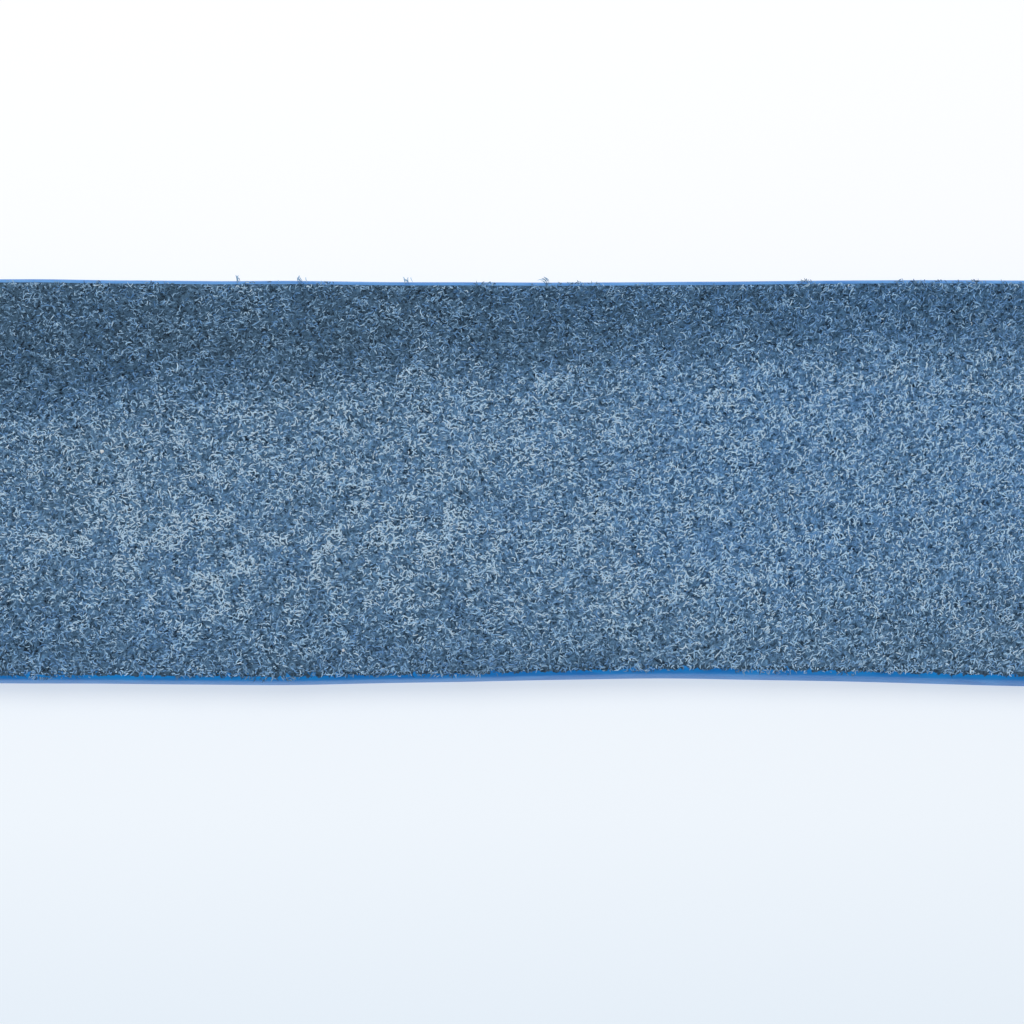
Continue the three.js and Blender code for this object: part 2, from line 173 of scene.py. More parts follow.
BARREL_RADIUS = SNAP_Z
STUD_HEAD_BACK = BARREL_START + BARREL_WALL + RUNNING_GAP
STUD_HEAD_FRONT = STUD_HEAD_BACK + STUD_HEAD_HEIGHT
RING_DEPTH = math.hypot(BAR_X - APEX_X, BAR_Z - APEX_Z)
RING_DROOP = math.atan2(BAR_Z - APEX_Z, BAR_X - APEX_X)
EYE_LEAN = math.acos((BARREL_RADIUS - EYE_WIRE) / EYE_RADIUS)
SNAP_ROLL = math.asin((BARREL_RADIUS - HOOK_WIRE) / HOOK_OFFSET)

HALF_TURN = Matrix.Rotation(math.pi, 4, "Z")
UPRIGHT = Matrix.Rotation(-math.pi / 2, 4, "Y")      # turns what points along +X to +Z
RING_PLACE = Matrix.Translation((BAR_X, 0, BAR_Z)) @ HALF_TURN @ Matrix.Rotation(RING_DROOP, 4, "Y")
SNAP_PLACE = Matrix.Translation((SNAP_X, 0, SNAP_Z)) @ HALF_TURN
EYE_PLACE = SNAP_PLACE @ Matrix.Rotation(EYE_LEAN, 4, "X")
ROLLED_PLACE = SNAP_PLACE @ Matrix.Rotation(SNAP_ROLL, 4, "X")

# The stretch of strap in view: its middle, and how much of the strap fills the frame.
CAMERA_TILT = math.radians(15)
VIEW_MIDDLE = 15.0
VIEW_WIDTH = (STRAP_WIDTH * math.cos(CAMERA_TILT) + STRAP_THICKNESS * math.sin(CAMERA_TILT)) * 2.497
VIEW_LEFT = VIEW_MIDDLE - VIEW_WIDTH / 2


# ---- noise and small maths

def smoothstep(low, high, value):
    t = np.clip((value - low) / (high - low), 0.0, 1.0)
    return t * t * (3 - 2 * t)


def lattice(ix, iy, seed):
    mixed = (ix * 374761393 + iy * 668265263 + seed * 974634777) & 0xFFFFFFFF
    mixed = ((mixed ^ (mixed >> 13)) * 1274126177) & 0xFFFFFFFF
    return ((mixed ^ (mixed >> 16)) & 0xFFFF) / 32767.5 - 1.0


def soft_noise(x, y, size, seed):
    """Smooth noise from -1 to 1 whose blobs are about size across."""
    x, y = np.asarray(x) / size, np.asarray(y) / size
    ix, iy = np.floor(x).astype(np.int64), np.floor(y).astype(np.int64)
    fx, fy = smoothstep(0, 1, x - ix), smoothstep(0, 1, y - iy)
    near = lattice(ix, iy, seed) * (1 - fx) + lattice(ix + 1, iy, seed) * fx
    far = lattice(ix, iy + 1, seed) * (1 - fx) + lattice(ix + 1, iy + 1, seed) * fx
    return near * (1 - fy) + far * fy


# ---- the strap's bent course

def walk(start, heading, moves, pitch):
    """Stations [along, x, z, heading] every pitch or so on a course of straight runs and bends."""
    x, z = start
    angle, along = heading, 0.0
    stations = [(along, x, z, angle)]
    for length, turn in moves:
        steps = max(1, round(length / pitch))
        if turn:
            steps = max(steps, math.ceil(abs(turn) / math.radians(5)))
        for _ in range(steps):
            angle += turn / steps / 2
            x += length / steps * math.cos(angle)
            z += length / steps * math.sin(angle)
            along += length / steps
            angle += turn / steps / 2
            stations.append((along, x, z, angle))
    return np.array(stations)


def level_change(height, radius):
    """Two equal and opposite bends as moves, and the ground they cover."""
    angle = math.copysign(math.acos(1 - abs(height) / (2 * radius)), height)
    arc = radius * abs(angle)
    return [(arc, angle), (arc, -angle)], 2 * radius * math.sin(abs(angle))


def strap_course(pitch):
    half = STRAP_THICKNESS / 2
    fold_radius = RING_WIRE + RUNNING_GAP + half
    fold_drop = TAIL_BOTTOM + 2 * fold_radius - MAIN_BOTTOM
    extra = math.acos(1 - fold_drop / (fold_radius + FOLD_RETURN_RADIUS))
    fold_end = (fold_radius + FOLD_RETURN_RADIUS) * math.sin(extra)
    down, down_length = level_change(-MAIN_BOTTOM, FOLD_DROP_RADIUS)
    up, up_length = level_change(TONGUE_BOTTOM, GRIP_RISE_RADIUS)
    rise_start = SHOULDER_START + RISE_PAST_SHOULDER - up_length
    moves = [
        (TAIL_LENGTH, 0),
        (fold_radius * (math.pi + extra), -(math.pi + extra)),
        (FOLD_RETURN_RADIUS * extra, extra),
        (TAIL_LENGTH - fold_end, 0),
        *down,
        (rise_start - TAIL_LENGTH - down_length, 0),
        *up,
        (TONGUE_END - rise_start - up_length, 0),
    ]
    return walk((BAR_X + TAIL_LENGTH, TAIL_BOTTOM + half), math.pi, moves, pitch)


COURSE = strap_course(pitch=0.8)
COURSE_LENGTH = COURSE[-1, 0]
FOLD_ALONG = TAIL_LENGTH + 6.0            # about the middle of the fold
MAIN_OFFSET = COURSE[-1, 1] - COURSE_LENGTH   # x less distance along, near the strap's middle
FRINGE_START = FOLD_ALONG + 15.0          # clear of the ring
NAP_END = COURSE_LENGTH - TONGUE_LENGTH


def on_course(along):
    """x, z and heading at distances along the strap."""
    return [np.interp(along, COURSE[:, 0], COURSE[:, column]) for column in (1, 2, 3)]


def in_view(x, y=0.0):
    """A point's place in the stretch in view, as shares: along it, and across the strap."""
    return (x - VIEW_LEFT) / VIEW_WIDTH, y / STRAP_WIDTH + 0.5


def along_in_view(share):
    """The distance along the strap at a share of the stretch in view."""
    return VIEW_LEFT + share * VIEW_WIDTH - MAIN_OFFSET


def half_width(along, side):
    """From the centreline to the cut edge: narrowing at the shoulders, and wavering as cut by hand."""
    x = on_course(along)[0]
    past_fold = smoothstep(FOLD_ALONG - 4, FOLD_ALONG + 20, along)
    shoulder = np.clip((x - BAR_X - SHOULDER_START) / (GRIP_START - SHOULDER_START), 0, 1)
    narrowing = (STRAP_WIDTH - GRIP_WIDTH) / 2 * smoothstep(0, 1, shoulder) * past_fold
    seed = 31 if side > 0 else 57
    free = (1 - smoothstep(0, 0.4, shoulder)) * smoothstep(FOLD_ALONG + 5, FOLD_ALONG + 60, along)
    waver = 0.16 * soft_noise(x, 0 * x, 38, seed) + 0.07 * soft_noise(x, 0 * x, 11, seed + 1)
    u, _ = in_view(x)
    if side < 0:
        waver += 0.35 * np.cos((u - 1.0) * math.pi * 2 / 0.72) + 0.15
        waver += 0.35 * smoothstep(0.15, -0.1, u) + 0.3 * smoothstep(0.85, 1.1, u)
    else:
        waver += 0.24 * np.cos((u - 0.02) * math.pi * 2 / 0.9) - 0.02
    return STRAP_WIDTH / 2 - narrowing + waver * free


def edge_lean(along, side):
    """How much further out the cut edge stands at the grain side than at the flesh side."""
    u, _ = in_view(on_course(along)[0])
    return 0.12 if side > 0 else 0.12 + 0.3 * smoothstep(0.4, 0.8, u)


def flesh_half_width(along, side):
    return half_width(along, side) - edge_lean(along, side)


def lift(along, y):
    """The flesh side's soft unevenness, in millimetres."""
    return (0.10 * soft_noise(along, y, 2.1, 3) + 0.06 * soft_noise(along, y, 0.9, 4)
            + 0.10 * soft_noise(along, y, 9.0, 5))


# ---- the flesh side's tones

def tone_at(x, y):
    """0 in the darkest parts of the flesh side, 1 in the lightest. Its darker bands along both long edges are
    painted shade; the noise in it is tone that varies at random.
    """
    u, v = in_view(x, y)
    wander = 0.03 * soft_noise(x, y, 22, 11) + 0.02 * soft_noise(x, y, 8, 12)
    # Painted shade: a darker band along the far edge here, then one along the near edge below.
    band_low = 0.66 + 0.10 * smoothstep(0.3, 0.7, u) - 0.04 * smoothstep(0.0, 0.25, 0.25 - u)
    tone = 1.0 - 0.86 * smoothstep(band_low - 0.10, band_low + 0.17, v + wander)
    low_left = smoothstep(0.75, 0.25, u)
    tone -= (0.30 + 0.22 * low_left) * smoothstep(0.30, 0.04, v + wander)
    tone -= 0.35 * smoothstep(0.09, 0.03, v + wander) * np.exp(-((u - 0.57) / 0.14) ** 2)
    tone -= 0.18 * np.exp(-((u + 0.02) / 0.10) ** 2) * smoothstep(0.9, 0.5, v)
    tone += 0.45 * smoothstep(0.965, 0.995, v)
    tone += 0.06 * soft_noise(x, y, 15, 13) + 0.05 * soft_noise(x, y, 5, 14)
    return np.clip(tone, 0, 1)


def blue_at(x, y):
    """0 where the dye is greyest, 1 where it is bluest."""
    u, v = in_view(x, y)
    blue = 0.35 + 0.5 * smoothstep(0.25, 0.8, u) * smoothstep(0.05, 0.35, v)
    blue -= 0.3 * smoothstep(0.65, 0.85, v)
    blue += 0.12 * soft_noise(x, y, 12, 15) + 0.10 * soft_noise(x, y, 4, 16)
    return np.clip(blue, 0, 1)


def clumps_at(x, y):
    """Where the nap is raised in pale, tangled clumps."""
    u, v = in_view(x, y)
    patch = np.exp(-((u - 0.28) / 0.22) ** 2 - ((v - 0.34) / 0.22) ** 2)
    for place in TUFT_PLACES:
        tuft = 0.8 * np.exp(-((u - place - 0.006) / 0.014) ** 2 - ((v - 0.99) / 0.06) ** 2)
        patch = np.maximum(patch, tuft)
    raised = smoothstep(-0.1, 0.6, soft_noise(x, y, 2.8, 17) + 0.6 * soft_noise(x, y, 1.4, 18))
    return patch * (1.3 * raised - 0.3)


# ---- shaders

def linear(red, green, blue):
    """Display colours from 0 to 255 as the linear values that shaders take."""
    values = [channel / 255 for channel in (red, green, blue)]
    return (*[c / 12.92 if c <= 0.04045 else ((c + 0.055) / 1.055) ** 2.4 for c in values], 1.0)


class Nodes:
    """A node tree, with a short way to add and link nodes."""

    def __init__(self, tree):
        self.tree = tree

    def add(self, kind, inputs=None, **settings):
        node = self.tree.nodes.new(kind)
        for key, value in settings.items():
            setattr(node, key, value)
        for key, value in (inputs or {}).items():
            if isinstance(value, bpy.types.NodeSocket):
                self.tree.links.new(value, node.inputs[key])
            else:
                node.inputs[key].default_value = value
        return node

    def ramp(self, factor, *stops):
        node = self.add("ShaderNodeValToRGB", {"Fac": factor})
        elements = node.color_ramp.elements
        while len(elements) < len(stops):
            elements.new(0.5)
        for element, (position, colour) in zip(elements, stops):
            element.position = position
            element.color = colour
        return node.outputs["Color"]


class Shader(Nodes):
    """A material round one Principled shader."""

    def __init__(self, material_name, **values):
        self.material = bpy.data.materials.new(material_name)
        self.material.use_nodes = True
        super().__init__(self.material.node_tree)
        inputs = self.tree.nodes["Principled BSDF"].inputs
        self.sockets = {socket.name.lower().replace(" ", "_"): socket for socket in inputs}
        for name, value in values.items():
            self.sockets[name].default_value = value
        self.place = self.add("ShaderNodeTexCoord").outputs["Object"]

    def attribute(self, name):
        return self.add("ShaderNodeAttribute", attribute_name=name).outputs["Fac"]

    def noise(self, size, detail=2.0, roughness=0.5, distortion=0.0, place=None):
        """Noise whose blobs are about size millimetres across."""
        inputs = {"Vector": place or self.place, "Scale": 1 / (size * MM), "Detail": detail,
                  "Roughness": roughness, "Distortion": distortion}
        return self.add("ShaderNodeTexNoise", inputs).outputs["Fac"]

    def cells(self, size):
        inputs = {"Vector": self.place, "Scale": 1 / (size * MM)}
        return self.add("ShaderNodeTexVoronoi", inputs).outputs["Distance"]

    def fibre_lines(self, size, width, shift):
        """Thin wandering lines of tangled fibre: 1 along a line, down to 0 between lines."""
        place = self.add("ShaderNodeVectorMath", {0: self.place, 1: shift}, operation="ADD").outputs[0]
        noise = self.noise(size, 1, 0.5, 1.0, place)
        off_line = self.maths("ABSOLUTE", self.maths("SUBTRACT", noise, 0.5), 0.0)
        return self.levels(off_line, 0.0, width, 1.0, 0.0)

    def levels(self, factor, low, high, to_low=0.0, to_high=1.0):
        inputs = {"Value": factor, "From Min": low, "From Max": high, "To Min": to_low, "To Max": to_high}
        return self.add("ShaderNodeMapRange", inputs).outputs["Result"]

    def maths(self, operation, a, b):
        return self.add("ShaderNodeMath", {0: a, 1: b}, operation=operation).outputs[0]

    def mix(self, factor, a, b):
        return self.add("ShaderNodeMix", {0: factor, 6: a, 7: b}, data_type="RGBA").outputs[2]

    def stretched(self, x, y, z):
        return self.add("ShaderNodeMapping", {"Vector": self.place, "Scale": (x, y, z)}).outputs["Vector"]

    def bump(self, height, depth, strength=1.0, normal=None):
        inputs = {"Height": height, "Distance": depth * MM, "Strength": strength}
        if normal:
            inputs["Normal"] = normal
        return self.add("ShaderNodeBump", inputs).outputs["Normal"]

    def finish(self, **links):
        for name, value in links.items():
            self.tree.links.new(value, self.sockets[name])
        return self.material


def flesh_leather():
    """Dyed suede: slate gaps under a tangle of paler fibres, bluer where the blue value is high, and darker
    in bands along both long edges where the tone value is low, which is painted shade.
    """
    shader = Shader("flesh_leather", roughness=0.95, specular_ior_level=0.2)
    tone, blue = shader.attribute("tone"), shader.attribute("blue")
    # The tone value mixes painted shade along both long edges into both dye colours.
    grey_dye_and_painted_shade = shader.mix(tone, linear(60, 86, 108), linear(88, 119, 144))
    blue_dye_and_painted_shade = shader.mix(tone, linear(60, 96, 128), linear(82, 124, 165))
    dye = shader.mix(blue, grey_dye_and_painted_shade, blue_dye_and_painted_shade)
    tangle = shader.fibre_lines(0.9, 0.03, (0.0, 0.0, 0.0))
    for size, width, shift in ((0.65, 0.035, 0.31), (0.5, 0.035, 0.67)):
        tangle = shader.maths("MAXIMUM", tangle, shader.fibre_lines(size, width, (shift, shift, 0.0)))
    fine = shader.noise(0.5, 3, 0.6, 0.5)
    patches = shader.levels(shader.noise(1.7, 2, 0.5), 0.35, 0.65, -0.2, 0.2)
    light = shader.maths("ADD", shader.levels(tangle, 0.0, 1.0, 0.0, 0.9), patches)
    light = shader.maths("ADD", light, shader.levels(fine, 0.38, 0.62, 0.25, 1.3))
    lit = shader.add("ShaderNodeVectorMath", {0: dye, "Scale": light}, operation="SCALE").outputs[0]
    height = shader.maths("ADD", tangle, fine)
    return shader.finish(base_color=lit, normal=shader.bump(height, 0.1, 0.7))


def grain_leather():
    """The smooth side, with pores, creases and a faint mottle, darker where the burnish value is high."""
    shader = Shader("grain_leather", roughness=0.5, coat_weight=0.12, coat_roughness=0.3)
    mottle = shader.noise(9.0, 4, 0.6)
    dye = shader.ramp(mottle, (0.3, linear(24, 64, 128)), (0.72, linear(46, 98, 172)))
    pores = shader.cells(0.9)
    creases = shader.noise(2.6, 5, 0.62, 0.5)
    burnish = shader.attribute("burnish")
    dark = shader.maths("MAXIMUM", shader.levels(pores, 0.0, 0.35, 0.35, 0.0), burnish)
    colour = shader.mix(dark, dye, linear(16, 42, 88))
    normal = shader.bump(creases, 0.35, 0.35, shader.bump(pores, 0.12, 0.5))
    roughness = shader.levels(creases, 0.3, 0.7, 0.42, 0.6)
    return shader.finish(base_color=colour, normal=normal, roughness=roughness)


def edge_paint():
    """Blue edge paint over the cut fibres, its upper rim ragged where the nap wasn't painted. Where the depth
    value is high the paint is paler: a painted highlight on the far rim and a painted reflection of the floor
    low on the near rim.
    """
    shader = Shader("edge_paint", specular_ior_level=0.3)
    streaks = shader.noise(1.4, 4, 0.6, 0.3, shader.stretched(0.25, 1, 1))
    bright = shader.ramp(streaks, (0.3, linear(0, 114, 196)), (0.7, linear(6, 142, 222)))
    pale = shader.ramp(streaks, (0.3, linear(104, 154, 216)), (0.7, linear(152, 190, 236)))
    # Paler where the depth value is high: a painted highlight on the far rim, a painted reflection of the
    # floor low on the near rim.
    paint = shader.mix(shader.levels(shader.attribute("depth"), 0.35, 0.95, 0.0, 0.75), bright, pale)
    bare = shader.ramp(shader.noise(0.3, 2), (0.35, linear(36, 56, 74)), (0.65, linear(70, 98, 120)))
    ragged = shader.levels(shader.noise(0.8, 4, 0.65), 0.3, 0.7, -0.13, 0.13)
    painted = shader.levels(shader.maths("ADD", shader.attribute("depth"), ragged), 0.05, 0.09)
    normal = shader.bump(shader.noise(0.5, 4, 0.6, 0.3), 0.12, 0.6)
    roughness = shader.levels(painted, 0.0, 1.0, 0.95, 0.34)
    return shader.finish(base_color=shader.mix(painted, bare, paint), roughness=roughness, normal=normal)


def nickel():
    """Nickel plate, a little dulled by handling, with fine wear scratches."""
    shader = Shader("nickel", metallic=1.0)
    haze = shader.noise(5.0, 4, 0.6)
    scratches = shader.noise(0.5, 3, 0.7, 0.2, shader.stretched(0.08, 1, 1))
    colour = shader.ramp(haze, (0.3, (0.62, 0.60, 0.56, 1)), (0.75, (0.76, 0.74, 0.70, 1)))
    roughness = shader.levels(haze, 0.3, 0.7, 0.16, 0.34)
    normal = shader.bump(shader.maths("ADD", scratches, haze), 0.02, 0.25)
    return shader.finish(base_color=colour, roughness=roughness, normal=normal)


def spring_steel():
    shader = Shader("spring_steel", metallic=1.0, roughness=0.36)
    colour = shader.ramp(shader.noise(1.2, 2), (0.3, (0.34, 0.34, 0.33, 1)), (0.7, (0.52, 0.52, 0.50, 1)))
    return shader.finish(base_color=colour)


def waxed_thread():
    """Natural waxed linen, with its twist as a fine diagonal relief."""
    shader = Shader("waxed_thread", roughness=0.55, sheen_weight=0.2, sheen_roughness=0.4)
    colour = shader.ramp(shader.noise(2.5, 3), (0.3, linear(196, 182, 152)), (0.7, linear(222, 211, 184)))
    inputs = {"Vector": shader.place, "Scale": 0.9 / MM, "Distortion": 1.0}
    twist = shader.add("ShaderNodeTexWave", inputs, bands_direction="DIAGONAL").outputs["Fac"]
    return shader.finish(base_color=colour, normal=shader.bump(twist, 0.08, 0.7))


def nap_fibre(number, colour):
    name = f"nap_fibre_{number}"
    return Shader(name, base_color=linear(*colour), roughness=0.9, specular_ior_level=0.2).material


PAINT = edge_paint()
GRAIN = grain_leather()
NICKEL = nickel()
FIBRE_MATERIALS = [nap_fibre(i + 1, colour) for i, colour in enumerate(GREY_FIBRES + BLUE_FIBRES)]
LINT_MATERIAL = nap_fibre("lint", LINT_COLOUR)


# ---- mesh helpers

def linked(name, data):
    """A new object in the scene."""
    piece = bpy.data.objects.new(name, data)
    bpy.context.scene.collection.objects.link(piece)
    return piece


def new_object(name, points, faces, place, *materials, crisp=True):
    """A mesh object from points in millimetres, moved to its place in the row frame if it has one."""
    points = np.asarray(points, dtype=float)
    if place is not None:
        turn = np.array(place.to_3x3())
        points = points @ turn.T + np.array(place.translation)
    mesh = bpy.data.meshes.new(name)
    mesh.from_pydata((points * MM).tolist(), [], faces)
    mesh.validate()
    mesh.shade_smooth()
    if crisp:
        mesh.set_sharp_from_angle(angle=SMOOTH_LIMIT)
    for material in materials:
        mesh.materials.append(material)
    return linked(name, mesh)


def set_slots(piece, slots):
    """Gives each face the number of its material."""
    piece.data.polygons.foreach_set("material_index", np.asarray(slots, dtype=np.int32))


def set_values(piece, name, values):
    layer = piece.data.attributes.new(name, "FLOAT", "POINT")
    layer.data.foreach_set("value", np.asarray(values, dtype=np.float32))


def stitched_rings(rings, sides, closed=False):
    """Faces that join rings of points in turn. Both ends are capped, or joined to each other if closed."""
    faces = []
    for row in range(rings if closed else rings - 1):
        for side in range(sides):
            corners = (row, side), (row, side + 1), (row + 1, side + 1), (row + 1, side)
            faces.append([ring % rings * sides + spot % sides for ring, spot in corners])
    if not closed:
        faces.append(list(reversed(range(sides))))
        faces.append([(rings - 1) * sides + side for side in range(sides)])
    return faces


def circle(radius, sides):
    angles = [2 * math.pi * side / sides for side in range(sides)]
    return [(radius * math.cos(angle), radius * math.sin(angle)) for angle in angles]


def rounded(profile, radius, steps=4):
    """An open profile of [distance, radius] points with its inner corners rounded."""
    profile = [Vector(point) for point in profile]
    smooth = [profile[0]]
    for before, corner, after in zip(profile, profile[1:], profile[2:]):
        back, on = before - corner, after - corner
        reach = min(radius, back.length * 0.45, on.length * 0.45)
        start, end = corner + back.normalized() * reach, corner + on.normalized() * reach
        for i in range(steps + 1):
            t = i / steps
            smooth.append(start * (1 - t) ** 2 + corner * 2 * t * (1 - t) + end * t ** 2)
    return smooth + [profile[-1]]


def lathe(profile, radius=0.25, sides=48):
    """Points and faces of a solid turned about X. The profile starts and ends on the axis."""
    profile = rounded(profile, radius)[1:-1]
    points = [(along, *spoke) for along, reach in profile for spoke in circle(reach, sides)]
    return points, stitched_rings(len(profile), sides)


def bezier(a, b, c, d, steps=24):
    t = np.linspace(0, 1, steps + 1)[:, None]
    a, b, c, d = (np.array(point, dtype=float) for point in (a, b, c, d))
    return a * (1 - t) ** 3 + 3 * b * t * (1 - t) ** 2 + 3 * c * t ** 2 * (1 - t) + d * t ** 3


def quarter_turn(start, corner, end, steps=24):
    """A quarter circle between two points, by way of the corner of their tangents."""
    start, corner, end = (np.array(point, dtype=float) for point in (start, corner, end))
    pull = 0.5523
    return bezier(start, start + (corner - start) * pull, end + (corner - end) * pull, end, steps)


def evenly(path, pitch, closed=False):
    """Points every pitch or so along a path, or round it if it is closed."""
    path = np.vstack([path, path[:1]]) if closed else path
    steps = np.linalg.norm(np.diff(path, axis=0), axis=1)
    path, steps = path[np.r_[True, steps > 1e-9]], steps[steps > 1e-9]
    reach = np.concatenate([[0], np.cumsum(steps)])
    count = round(reach[-1] / pitch)
    wanted = np.linspace(0, reach[-1], count if closed else max(2, count + 1), endpoint=not closed)
    return np.column_stack([np.interp(wanted, reach, column) for column in path.T])


def tube(path, radius, sides=24, rounding=0.2):
    """Points and faces of a round wire along a path, its ends rounded over."""
    bends = (0.0, 0.4, 0.8, 1.2)
    backs = [rounding * (1 - math.cos(bend)) for bend in bends]
    tips = [radius - rounding * (1 - math.sin(bend)) for bend in bends]
    caps, clear = [], True
    for end, neighbour in ((path[0], path[1]), (path[-1], path[-2])):
        inward = (neighbour - end) / np.linalg.norm(neighbour - end)
        caps.append([end + inward * back for back in backs])
        clear = clear & (np.linalg.norm(path - end, axis=1) > rounding)
    course = [*caps[0], *path[clear], *reversed(caps[1])]
    radii = tips + [radius] * (len(course) - 2 * len(tips)) + tips[::-1]
    points, normal = [], None
    for i, centre in enumerate(course):
        heading = Vector(course[min(i + 1, len(course) - 1)] - course[max(i - 1, 0)]).normalized()
        normal = heading.orthogonal() if normal is None else normal - heading * normal.dot(heading)
        normal.normalize()
        across = heading.cross(normal)
        points += [Vector(centre) + normal * a + across * b for a, b in circle(radii[i], sides)]
    return points, stitched_rings(len(course), sides)


def block(low, high):
    """Points and faces of a box."""
    points = [(x, y, z) for x in (low[0], high[0]) for y in (low[1], high[1]) for z in (low[2], high[2])]
    return points, [(0, 1, 3, 2), (4, 6, 7, 5), (0, 4, 5, 1), (2, 3, 7, 6), (0, 2, 6, 4), (1, 5, 7, 3)]


def rod(radius, start, end, sides=48):
    """Points and faces of a plain cylinder along X."""
    points = [(x, *spoke) for x in (start, end) for spoke in circle(radius, sides)]
    return points, stitched_rings(2, sides)


def settle(piece):
    """Bakes an object's modifiers into its mesh."""
    evaluated = piece.evaluated_get(bpy.context.evaluated_depsgraph_get())
    mesh = bpy.data.meshes.new_from_object(evaluated)
    piece.modifiers.clear()
    piece.data = mesh


def combine(piece, operation, shapes, place):
    """Adds shapes to an object, or cuts them from it. Each shape is points and faces."""
    tools = []
    for points, faces in shapes:
        tool = new_object("tool", points, faces, place)
        tools.append(tool)
        modifier = piece.modifiers.new("combine", "BOOLEAN")
        modifier.operation = operation
        modifier.solver = "EXACT"
        modifier.object = tool
    settle(piece)
    for tool in tools:
        bpy.data.objects.remove(tool)
    piece.data.shade_smooth()
    piece.data.set_sharp_from_angle(angle=SMOOTH_LIMIT)


def finish_piece(piece, body, slot, *nodes):
    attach(piece, body)
    if nodes:
        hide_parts(*nodes)


# ---- strap

def edge_outline():
    """The cut edge in section, from flesh side to grain side, as insets from the edge and heights."""
    half = STRAP_THICKNESS / 2
    turns = np.linspace(0, math.pi / 2, 4)
    near, far = 1 - np.sin(turns), 1 - np.cos(turns)
    insets = np.concatenate([FLESH_CORNER * near, GRAIN_CORNER * far])
    return insets, np.concatenate([half - FLESH_CORNER * far, GRAIN_CORNER * near - half])


def strap_section(along):
    """One closed loop round the strap, as y and height."""
    half = STRAP_THICKNESS / 2
    right, left = flesh_half_width(along, 1), flesh_half_width(along, -1)
    insets, heights = edge_outline()
    flesh = np.linspace(FLESH_CORNER - left, right - FLESH_CORNER, 2 * FLESH_COLUMNS + 1)[1::2]
    grain = np.linspace(right - GRAIN_CORNER, GRAIN_CORNER - left, 2 * GRAIN_COLUMNS + 1)[1::2]
    y = np.concatenate([flesh, right - insets, grain, insets[::-1] - left])
    height = np.concatenate([0 * flesh + half, heights, 0 * grain - half, heights[::-1]])
    outward = (half - height) / STRAP_THICKNESS
    return y + outward * np.where(y > 0, edge_lean(along, 1), -edge_lean(along, -1)), height


def make_strap():
    rows = []
    for along, x, z, heading in COURSE:
        y, height = strap_section(np.array(along))
        height[:FLESH_COLUMNS] += lift(along, y[:FLESH_COLUMNS])
        rows.append(np.column_stack([x - height * math.sin(heading), y, z + height * math.cos(heading)]))
    points, faces = np.concatenate(rows), stitched_rings(len(rows), len(rows[0]))
    strap = new_object("strap_leather", points, faces, None, flesh_leather(), PAINT, GRAIN)
    rim = np.linspace(0, 1, len(edge_outline()[0]))
    around = np.repeat([0, 1, 2, 1], [FLESH_COLUMNS, len(rim), GRAIN_COLUMNS, len(rim)])
    set_slots(strap, [*np.tile(around, len(rows) - 1), 1, 1])
    # Depth runs from the flesh side to the grain side round each rim. On the far rim it starts at 0.7, so
    # that whole rim is painted and pale, a painted highlight; on the near rim the paint grows pale towards
    # the grain side, a painted reflection of the floor.
    depth = np.concatenate([np.zeros(FLESH_COLUMNS), 0.7 + 0.3 * rim, np.ones(GRAIN_COLUMNS), rim[::-1]])
    set_values(strap, "depth", np.tile(depth, len(rows)))
    set_values(strap, "tone", tone_at(points[:, 0], points[:, 1]))
    set_values(strap, "blue", blue_at(points[:, 0], points[:, 1]))
    strap.data.update()
    finish_piece(strap, "strop", "flesh_leather", "strap")


# ---- nap fibres

def fibre_ribbons(along, y, heading, length, turn, width, height):
    """Points of curled ribbons on the flesh side, as [fibre, step, side, xyz]. Their ends sink into it."""
    sink = 0.06
    t = np.linspace(0, 1, FIBRE_STEPS + 1)
    arch = np.sin(math.pi * t)
    angle = heading[:, None] + turn[:, None] * (t - 0.5)
    stride = length[:, None] / FIBRE_STEPS
    dx = np.cumsum(np.cos(angle) * stride, axis=1)
    dy = np.cumsum(np.sin(angle) * stride, axis=1)
    course = along[:, None] + dx - dx.mean(axis=1, keepdims=True)
    across = y[:, None] + dy - dy.mean(axis=1, keepdims=True)
    rise = height[:, None] * arch - sink * (1 - arch)
    half = width[:, None] / 2 * (0.35 + 0.65 * arch)
    roll = rng.uniform(-0.5, 0.5, len(along))[:, None]
    sides = []
    for side in (-1, 1):
        s = course - side * half * np.sin(angle)
        w = across + side * half * np.cos(angle)
        x, z, slope = on_course(s)
        h = STRAP_THICKNESS / 2 + lift(course, across) + rise + side * roll * half
        sides.append(np.stack([x - h * np.sin(slope), w, z + h * np.cos(slope)], axis=-1))
    return np.stack(sides, axis=2)


def ribbon_object(name, ribbons, classes):
    step = np.arange(FIBRE_STEPS) * 2
    one = np.column_stack([step, step + 2, step + 3, step + 1])
    first_points = np.arange(len(ribbons)) * (FIBRE_STEPS + 1) * 2
    quads = (one[None] + first_points[:, None, None]).reshape(-1, 4)
    points = ribbons.reshape(-1, 3)
    piece = new_object(name, points, quads.tolist(), None, *FIBRE_MATERIALS, crisp=False)
    set_slots(piece, np.repeat(classes, FIBRE_STEPS))
    piece.data.update()
    finish_piece(piece, "strop", "flesh_leather")


